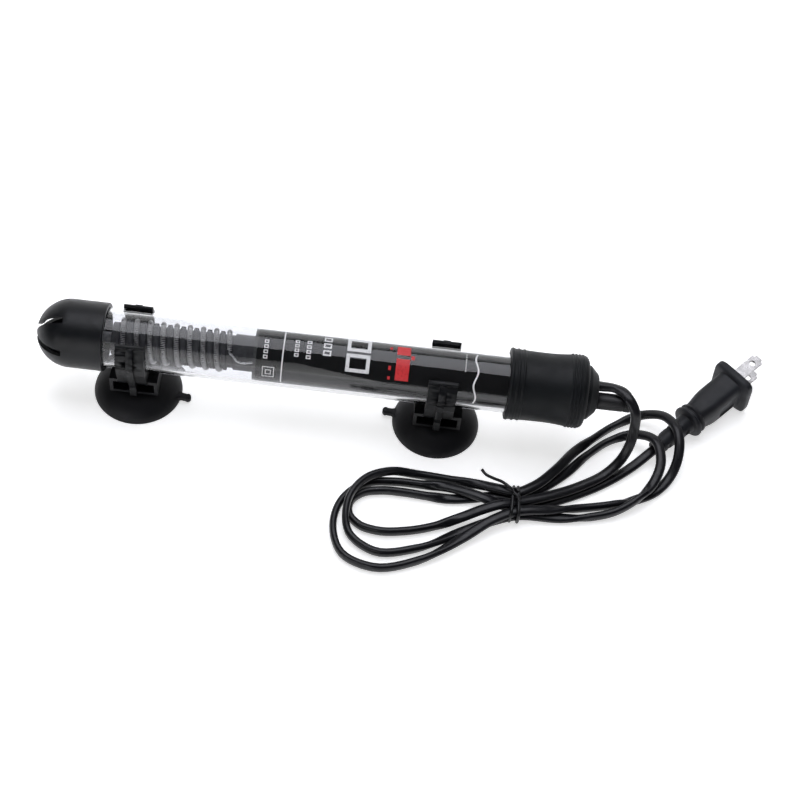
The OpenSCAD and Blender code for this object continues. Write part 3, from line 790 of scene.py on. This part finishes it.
def ceramic_former():
    """Ceramic tube with a spiral ridge half a turn from the wire, and a collar."""
    core = 7.6
    crest = 9.0
    ridge_end = COIL_RIGHT - 1.3
    collar = COIL_RIGHT + COIL_D / 2 + 0.4
    steps = 90
    rows = []
    x = -104
    while x < -38.01:
        rows.append(x)
        x += 0.22
    verts = []
    stations = [(-104, 1.6), (-104, core - 0.5)] + [(x, None) for x in rows]
    stations += [(-38, core + 0.4), (-38, 1.6)]
    for x, fixed in stations:
        for k in range(steps):
            a = 2 * math.pi * k / steps
            r = fixed
            if r is None:
                cycles = (x - COIL_RIGHT) / COIL_PITCH + (a - FRONT - math.pi) / (2 * math.pi)
                away = abs(cycles - round(cycles)) * COIL_PITCH
                lift = min(1, max(0, (1.45 - away) / 0.6))
                lift = lift * lift * (3 - 2 * lift)
                if x < COIL_LEFT or x > ridge_end:
                    lift = 0
                r = core + (crest - core) * lift
                if x > collar:
                    r = core + 0.8
            verts.append((x, r * math.sin(a), AXIS_Z + r * math.cos(a)))
    faces = []
    count = len(stations)
    for i in range(count):
        j = (i + 1) % count
        for k in range(steps):
            m = (k + 1) % steps
            faces.append((i * steps + k, i * steps + m, j * steps + m, j * steps + k))
    return new_piece("former", verts, faces, "heater", 50)


def inner_sleeve():
    profile = [(-36.6, 11.6), (-36.6, 11.95), (-36.3, 12.05), (84, 12.05), (84, 11.6)]
    return lathe("sleeve", profile, "heater", steps=128)


# ---- Guard ----

def guard_cap():
    outer = 16
    inner = TUBE_R + 0.03
    rim = -107
    round_x = -123.33
    slot_w = 3.25
    slot_end = -125.2
    dome = [(x, r) for x, r in arc((round_x, 0), outer, 180, 90, 28)]
    profile = dome + [(rim - 0.35, outer), (rim, outer - 0.35), (rim, inner + 0.25)]
    profile += [(rim - 0.25, inner), (-127.5, inner)]
    profile += [(x, r) for x, r in arc((round_x, 0), inner, 107.3, 180, 20)]
    guard = lathe("guard_shell", profile, "guard", closed=False, steps=144)
    for turn in range(3):
        a = math.radians(76.5 + 60 * turn)
        across = Vector((0, math.sin(a), -math.cos(a)))
        beside = Vector((0, math.cos(a), math.sin(a)))
        corners = []
        for x in (-141, slot_end - 0.3):
            for u in (-16, 16):
                for v in (-slot_w / 2, slot_w / 2):
                    spot = across * u + beside * v
                    corners.append((x, spot.y, AXIS_Z + spot.z))
        tool = new_piece("slot_tool", corners, block((0, 0, 0), (1, 1, 1))[1], None)
        combine(guard, tool, "DIFFERENCE")
    soften(guard, 0.35, 3, 40)
    shade(guard, 40)
    return guard


# ---- Suction cups ----

CUP_R = 21
DOME_H = 10.5
HOLLOW_R = 18.7
HOLLOW_H = 7.4


def dome_z(r):
    """Height of the cup's full dome at a distance from its middle."""
    return DOME_H * (1 - (r / CUP_R) ** 2.4) ** 0.55


def cup(name, x, tab_side, body):
    profile = [(0, 16.8), (6.2, 16.8), (6.6, 16.65), (6.8, 16.3), (6.9, 15.9), (7.5, 15.8),
               (7.8, 15.5), (7.8, 13.9), (7.5, 13.6), (6.9, 13.5), (6.8, 12.7), (4.2, 12.6),
               (4, 12.3), (4, 11), (4.2, 10.6), (4.8, 10.35)]
    for i in range(1, 41):
        r = 5 + (CUP_R - 0.02 - 5) * (1 - (1 - i / 40) ** 1.6)
        profile.append((r, max(0.5, dome_z(r))))
    profile += [(CUP_R, 0.35), (CUP_R, 0.1), (CUP_R - 0.12, 0), (HOLLOW_R + 0.1, 0)]
    for i in range(1, 28):
        share = 1 - i / 28
        profile.append((HOLLOW_R * share, HOLLOW_H * (1 - share ** 2) ** 0.8))
    profile.append((0, HOLLOW_H))
    shell = open_upright(name, profile, (x, 0), body)
    outline = [(17.5, -3.6), (20.8, -1.9), (21.8, -1.55), (23.8, -1.55), (24.6, -1.9)]
    outline += [(24.3 + px, py) for px, py in arc((0, 0), 1.9, -75, 75, 8)]
    outline += [(24.6, 1.9), (23.8, 1.55), (21.8, 1.55), (20.8, 1.9), (17.5, 3.6)]
    turn = math.radians(TAB_TURN[body])
    count = len(outline)
    verts = []
    for z in (0.45, 3.3):
        for px, py in outline:
            px = tab_side * px
            verts.append((x + px * math.cos(turn) - py * math.sin(turn),
                          px * math.sin(turn) + py * math.cos(turn), z))
    faces = [tuple(range(count)), tuple(range(2 * count - 1, count - 1, -1))]
    for k in range(count):
        m = (k + 1) % count
        faces.append((k, count + k, count + m, m))
    tab = new_piece("tab", verts, faces, None)
    soften(tab, 0.5, 3, 50)
    apply_modifiers(tab)
    combine(shell, tab, "UNION")
    shade(shell, 40)
    return shell


# Turn of each cup's pull tab from the tube's line, in degrees
TAB_TURN = {"cup_1": -8, "cup_2": -5}


def open_upright(name, profile, at, body):
    """Turns (radius, z) points round a vertical line, from pole to pole."""
    steps = 128
    verts = []
    for r, z in profile:
        for k in range(steps):
            a = 2 * math.pi * k / steps
            verts.append((at[0] + r * math.cos(a), at[1] + r * math.sin(a), z))
    faces = []
    for i in range(len(profile) - 1):
        for k in range(steps):
            m = (k + 1) % steps
            faces.append((i * steps + k, i * steps + m, (i + 1) * steps + m,
                          (i + 1) * steps + k))
    return new_piece(name, verts, faces, body, 40)


# ---- Plug ----

def plug_frame():
    """Origin and axes of the plug: down, across and along it to the blades."""
    heading = math.radians(46)
    rise = math.radians(6.7)
    flat = Vector((math.cos(heading), math.sin(heading), 0))
    along = flat * math.cos(rise) + Vector((0, 0, math.sin(rise)))
    across = Vector((-math.sin(heading), math.cos(heading), 0))
    down = across.cross(along)
    return Vector(CORD_END), down, across, along


# Distance along the plug, height, width and squareness of its section
PLUG_STATIONS = [
    (0, 7.2, 7.2, 2), (0.4, 8, 8, 2), (11, 9, 9, 2), (21.9, 9.9, 9.9, 2), (22.3, 10.6, 10.6, 2),
    (22.5, 15.2, 15.2, 2), (22.9, 16.2, 16.2, 2), (23.5, 16.5, 16.5, 2), (24.1, 16.3, 16.3, 2),
    (24.5, 15.2, 15.2, 2), (24.7, 14, 14, 2), (25.8, 14, 14, 2), (26.1, 15, 15, 2),
    (26.5, 15.6, 15.6, 2), (27.2, 15.5, 15.4, 2), (27.6, 14.9, 13.6, 2.3), (28.2, 14.9, 12.9, 2.7),
    (30.5, 15.6, 13.2, 3.2), (34, 17.4, 14.2, 3.6), (37, 18, 14.6, 3.8), (50.6, 18, 14.6, 4),
    (51.7, 18.5, 15.2, 4), (52, 20.6, 18.6, 4.6), (52.2, 22, 20.8, 5.5), (52.7, 23, 21.8, 6),
    (53.2, 23.2, 22, 6), (55.1, 23.2, 22, 6), (55.7, 22.9, 21.7, 6), (56, 22.2, 21, 6),
]


def plug_box(name, low, high, edge):
    """A soft-edged box in the plug's own axes, as a tool for cutting."""
    origin, down, across, along = plug_frame()
    verts, faces = block(low, high)
    placed = [origin + down * x + across * y + along * z for x, y, z in verts]
    tool = new_piece(name, placed, faces, None)
    soften(tool, edge, 3, 50)
    apply_modifiers(tool)
    return tool


def plug_body():
    origin, down, across, along = plug_frame()
    points = [origin + along * station[0] for station in PLUG_STATIONS]
    outlines = [oval(h, w, 72, p) for _, h, w, p in PLUG_STATIONS]
    frames = [(down, across)] * len(points)
    verts = sweep(points, frames, outlines)
    faces = tube_faces(len(points), 72, False)
    plug = new_piece("plug_housing", verts, faces, "heater", 40)
    for side in (-1, 1):
        for row in range(3):
            near = 5 + 6 * row
            low = (-2.6, side * 4.6 - 1.4, near)
            high = (2.6, side * 4.6 + 1.4, near + 2.4)
            combine(plug, plug_box("neck_slot", low, high, 0.5), "DIFFERENCE")
        low = (-4.2, side * 7.9 - 1.5, 38.5)
        high = (4.2, side * 7.9 + 1.5, 49)
        combine(plug, plug_box("grip", low, high, 1.2), "DIFFERENCE")
    soften(plug, 0.25, 2, 50)
    shade(plug, 40)
    return plug


# ---- Materials of the pieces ----

def guard_plastic():
    return moulded("guard_plastic", (0.004, 0.0045, 0.006), (0.008, 0.009, 0.011), 0.36,
                   1100, 0.012, 90, shine=0.24)


def ceramic(name, dark, light, rough):
    look = Look(name)
    spots = look.noise(700, 5)
    look.set("Base Color", look.mix(look.spread(spots, 0, 1, 0.35, 0.62), dark, light))
    look.set("Roughness", look.spread(look.noise(200), rough - 0.08, rough + 0.08))
    look.set("Normal", look.bump(spots, 0.03))
    return look.material


def nichrome():
    look = Look("coil_wire")
    look.set("Metallic", 1.0)
    tint = look.noise(150, 3)
    look.set("Base Color", look.mix(look.spread(tint, 0, 1), (0.58, 0.57, 0.58), (0.84, 0.83, 0.83)))
    look.set("Roughness", look.spread(look.noise(500), 0.26, 0.42))
    return look.material


def lamp_glass():
    look = Look("lamp_glass")
    glow = look.noise(300, 2)
    look.set("Base Color", look.mix(look.spread(glow, 0, 1), (0.75, 0.22, 0.08), (0.85, 0.34, 0.14)))
    look.set("Transmission Weight", 0.6)
    look.set("Roughness", 0.12)
    return look.material


def print_ink(name, dark, light):
    look = Look(name)
    wear = look.noise(900, 4)
    look.set("Base Color", look.mix(look.spread(wear, 0, 1, 0.3, 0.5), dark, light))
    look.set("Roughness", look.spread(look.noise(400), 0.45, 0.6))
    return look.material


def pvc(name, dark, light, rough):
    look = Look(name)
    cloud = look.noise(80, 3)
    look.set("Base Color", look.mix(look.spread(cloud, 0, 1), dark, light))
    look.set("Roughness", look.spread(look.noise(260, 3), rough - 0.05, rough + 0.06))
    look.set("Specular IOR Level", 0.2)
    look.set("Coat Weight", 0.15)
    look.set("Coat Roughness", 0.14)
    look.set("Normal", look.bump(look.noise(700, 3), 0.01))
    return look.material


def blade_nickel():
    look = Look("blade_nickel")
    look.set("Metallic", 1.0)
    cloud = look.noise(90, 4)
    look.set("Base Color", look.mix(look.spread(cloud, 0, 1), (0.27, 0.264, 0.262), (0.36, 0.353, 0.35)))
    look.set("Roughness", look.spread(look.noise(400, 3, (1, 1, 6)), 0.2, 0.36))
    look.set("Normal", look.bump(look.noise(1200, 2), 0.004))
    return look.material


def paint_inner_nodes():
    """Finishes of the CAD nodes inside the tube and the boot."""
    finishes = {
        "base_pad": ceramic("ceramic_pad", (0.20, 0.20, 0.21), (0.30, 0.30, 0.31), 0.6),
        "heat_shield": ceramic("mica_disc", (0.03, 0.03, 0.032), (0.06, 0.06, 0.062), 0.5),
        "thermostat_board": moulded("board_phenolic", (0.16, 0.07, 0.03), (0.24, 0.12, 0.05), 0.45),
        "strip_post": metal("post_steel", (0.45, 0.45, 0.44), (0.58, 0.58, 0.57), 0.3),
        "bimetal_strip": metal("bimetal", (0.62, 0.42, 0.18), (0.75, 0.55, 0.28), 0.3, (8, 1, 1)),
        "contact_leaf": metal("leaf_bronze", (0.50, 0.24, 0.11), (0.62, 0.33, 0.17), 0.3),
        "snap_magnet": moulded("magnet_dark", (0.02, 0.02, 0.022), (0.045, 0.045, 0.05), 0.5),
        "adjuster_nut": metal("nut_brass", (0.62, 0.45, 0.16), (0.72, 0.55, 0.24), 0.28),
        "control_spindle": metal("spindle_steel", (0.5, 0.5, 0.51), (0.62, 0.62, 0.63), 0.25),
        "spindle_seal": moulded("seal_rubber", (0.01, 0.01, 0.011), (0.02, 0.02, 0.021), 0.6),
        "lamp_resistor": moulded("resistor_body", (0.48, 0.33, 0.16), (0.6, 0.44, 0.24), 0.4),
        "terminal_pins": metal("pin_tin", (0.55, 0.55, 0.56), (0.7, 0.7, 0.71), 0.3),
        "live_wire": moulded("wire_black", (0.01, 0.01, 0.01), (0.02, 0.02, 0.02), 0.4),
        "neutral_wire": moulded("wire_white", (0.7, 0.7, 0.69), (0.82, 0.82, 0.8), 0.4),
        "tube_bung": moulded("bung_rubber", (0.018, 0.018, 0.02), (0.03, 0.03, 0.033), 0.65),
        "bung_rings": moulded("ring_rubber", (0.01, 0.01, 0.011), (0.018, 0.018, 0.02), 0.6),
        "cord_tail": pvc("cord_tail_pvc", (0.010, 0.010, 0.012), (0.018, 0.018, 0.02), 0.35),
        "indicator_lamp": lamp_glass(),
        "plug_blades": blade_nickel(),
    }
    silver = metal("contact_silver", (0.7, 0.7, 0.7), (0.8, 0.8, 0.79), 0.2)
    finishes["moving_contact"] = silver
    finishes["fixed_contact"] = silver
    for node, material in finishes.items():
        paint_node(node, material)


# ---- Floor, backdrop and lamps ----

def glowing(name, colour, glow, fade=None):
    """A sheet's look; with fade, its glow changes from glow at a low height to
    fade[2] at a high one, between the heights fade[0] and fade[1]."""
    look = Look(name)
    cloud = look.noise(6, 2)
    look.set("Base Color", look.mix(look.spread(cloud, 0, 1), colour, tuple(c * 0.99 for c in colour)))
    look.set("Roughness", 0.8)
    look.set("Specular IOR Level", 0.1)
    look.shader.inputs["Emission Color"].default_value = (*colour, 1)
    look.set("Emission Strength", glow)
    if fade:
        split = look.add("ShaderNodeSeparateXYZ")
        look.link(look.coord.outputs["Object"], split.inputs["Vector"])
        look.set("Emission Strength", look.spread(split.outputs["Z"], glow, fade[2], *fade[:2]))
    return look.material


def sheet_of(name, corners, material):
    mesh = bpy.data.meshes.new(name)
    mesh.from_pydata(corners, [], [(0, 1, 2, 3)])
    piece = bpy.data.objects.new(name, mesh)
    bpy.context.scene.collection.objects.link(piece)
    piece.data.materials.append(material)
    return piece


def lamp(name, place, target, size, power, tint=(1, 1, 1)):
    data = bpy.data.lights.new(name, "AREA")
    data.shape = "RECTANGLE"
    data.size, data.size_y = size
    data.energy = power
    data.color = tint
    light = bpy.data.objects.new(name, data)
    light.location = place
    light.rotation_euler = (Vector(target) - Vector(place)).to_track_quat("-Z", "Y").to_euler()
    bpy.context.scene.collection.objects.link(light)


def card(name, corners, colour, glow, fade=None):
    """A sheet that only reflections and light see, as a studio's soft box or flag is."""
    piece = sheet_of(name, corners, glowing(name, colour, glow, fade))
    piece.visible_camera = False
    piece.visible_transmission = False
    return piece


def studio():
    white = (0.92, 0.92, 0.92)
    black = (0.004, 0.004, 0.004)
    floor = glowing("floor_white", white, 0.64)
    sheet_of("floor", [(-3, -2.5, 0), (3, -2.5, 0), (3, 1.6, 0), (-3, 1.6, 0)], floor)
    sheet_of("backdrop", [(-3, 1.6, 0), (3, 1.6, 0), (3, 1.7, 1.6), (-3, 1.7, 1.6)],
             glowing("backdrop_white", white, 0.6))
    card("soft_box", [(-0.42, -0.2, 1.2), (0.42, -0.2, 1.2), (0.42, 0.7, 1.0),
                      (-0.42, 0.7, 1.0)], (0.93, 0.94, 1.0), 2.7)
    card("flag_high", [(-1.5, -0.95, 0.74), (1.5, -0.95, 0.74), (1.5, -0.2, 1.22),
                       (-1.5, -0.2, 1.22)], black, 0)
    card("flag_low", [(0.02, -0.97, 0.02), (1.5, -0.97, 0.02), (1.5, -0.96, 0.74),
                      (-0.1, -0.96, 0.74)], black, 0)
    card("front_glow", [(-1.2, -0.98, 0.02), (0.02, -0.98, 0.02), (-0.1, -0.96, 0.74),
                        (-1.2, -0.96, 0.74)], (1, 1, 1), 1.2, (0.1, 0.7, 0.2))
    lamp("key", (-0.55, -0.25, 1.0), (0, 0, 0), (0.3, 0.2), 0.3)
    lamp("fill", (0.8, -0.5, 0.9), (0.05, 0, 0), (0.3, 0.3), 0.2)
    world = bpy.data.worlds.new("world")
    bpy.context.scene.world = world
    world.use_nodes = True
    ground = world.node_tree.nodes["Background"]
    ground.inputs["Color"].default_value = (0.9, 0.92, 0.95, 1)
    ground.inputs["Strength"].default_value = 0.1
    bpy.context.scene.view_settings.view_transform = "Standard"


# ---- Whole scene ----

def build():
    add_camera()
    cord, path = power_cord()
    plug = plug_body()
    tie = cord_tie()
    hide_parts("power_cord")
    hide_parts("plug_body")
    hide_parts("cord_tie")
    cord_look = pvc("cord_pvc", (0.005, 0.005, 0.007), (0.010, 0.010, 0.012), 0.32)
    paint(cord, cord_look)
    paint(plug, moulded("plug_pvc", (0.007, 0.0075, 0.010), (0.013, 0.014, 0.018), 0.5, 1000, 0.02))
    paint(tie, moulded("tie_plastic", (0.006, 0.006, 0.007), (0.012, 0.012, 0.013), 0.25, 700))
    refine_node("plug_blades", 0.2)

    sleeve = relief()
    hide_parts("strain_relief")
    paint(sleeve, pvc("relief_rubber", (0.010, 0.010, 0.012), (0.018, 0.018, 0.02), 0.4))
    boot = rubber_boot()
    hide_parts("rubber_boot")
    paint(boot, moulded("boot_rubber", (0.003, 0.004, 0.005), (0.007, 0.0085, 0.010), 0.5, 900, 0.03,
                         shine=0.2))
    knob = control_knob()
    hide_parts("control_knob")
    paint(knob, moulded("knob_plastic", (0.010, 0.010, 0.011), (0.018, 0.018, 0.02), 0.42, 1000))

    tube = glass_tube()
    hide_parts("glass_tube")
    paint(tube, glass("tube_glass", (0.88, 0.885, 0.905)))
    paint(white_marks(), print_ink("print_white", (0.62, 0.62, 0.63), (0.8, 0.8, 0.81)))
    paint(red_marks(), print_ink("print_red", (0.50, 0.015, 0.02), (0.68, 0.03, 0.035)))
    coil = heating_coil()
    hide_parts("heating_coil")
    paint(coil, nichrome())
    leads = element_leads()
    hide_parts("coil_leads")
    paint(leads, metal("lead_wire", (0.62, 0.62, 0.63), (0.76, 0.76, 0.77), 0.22))
    former = ceramic_former()
    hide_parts("ceramic_former")
    paint(former, ceramic("former_ceramic", (0.022, 0.022, 0.026), (0.040, 0.040, 0.046), 0.55))
    lining = inner_sleeve()
    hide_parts("inner_sleeve")
    paint(lining, moulded("sleeve_black", (0.003, 0.003, 0.0035), (0.006, 0.006, 0.007), 0.55, 500,
                          0.03, 60, None, 0.12))

    guard = guard_cap()
    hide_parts("guard_cap")
    paint(guard, guard_plastic())
    rubber = moulded("cup_rubber", (0.004, 0.004, 0.005), (0.007, 0.007, 0.009), 0.5, 700, 0.03, 50,
                      shine=0.2)
    for name, x, side in (("cup_1", -94, 1), ("cup_2", 50, -1)):
        dome = cup(name + "_rubber", x, side, name)
        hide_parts(name)
        paint(dome, rubber)
    plastic = moulded("clip_plastic", (0.003, 0.0035, 0.004), (0.007, 0.0075, 0.009), 0.34, 800,
                      0.02, 70, (6, 1, 0.4), 0.2)
    for name in ("clip_1", "clip_2"):
        refine_node(name, 0.45, 3)
        paint_node(name, plastic)
    paint_inner_nodes()
    studio()


build()
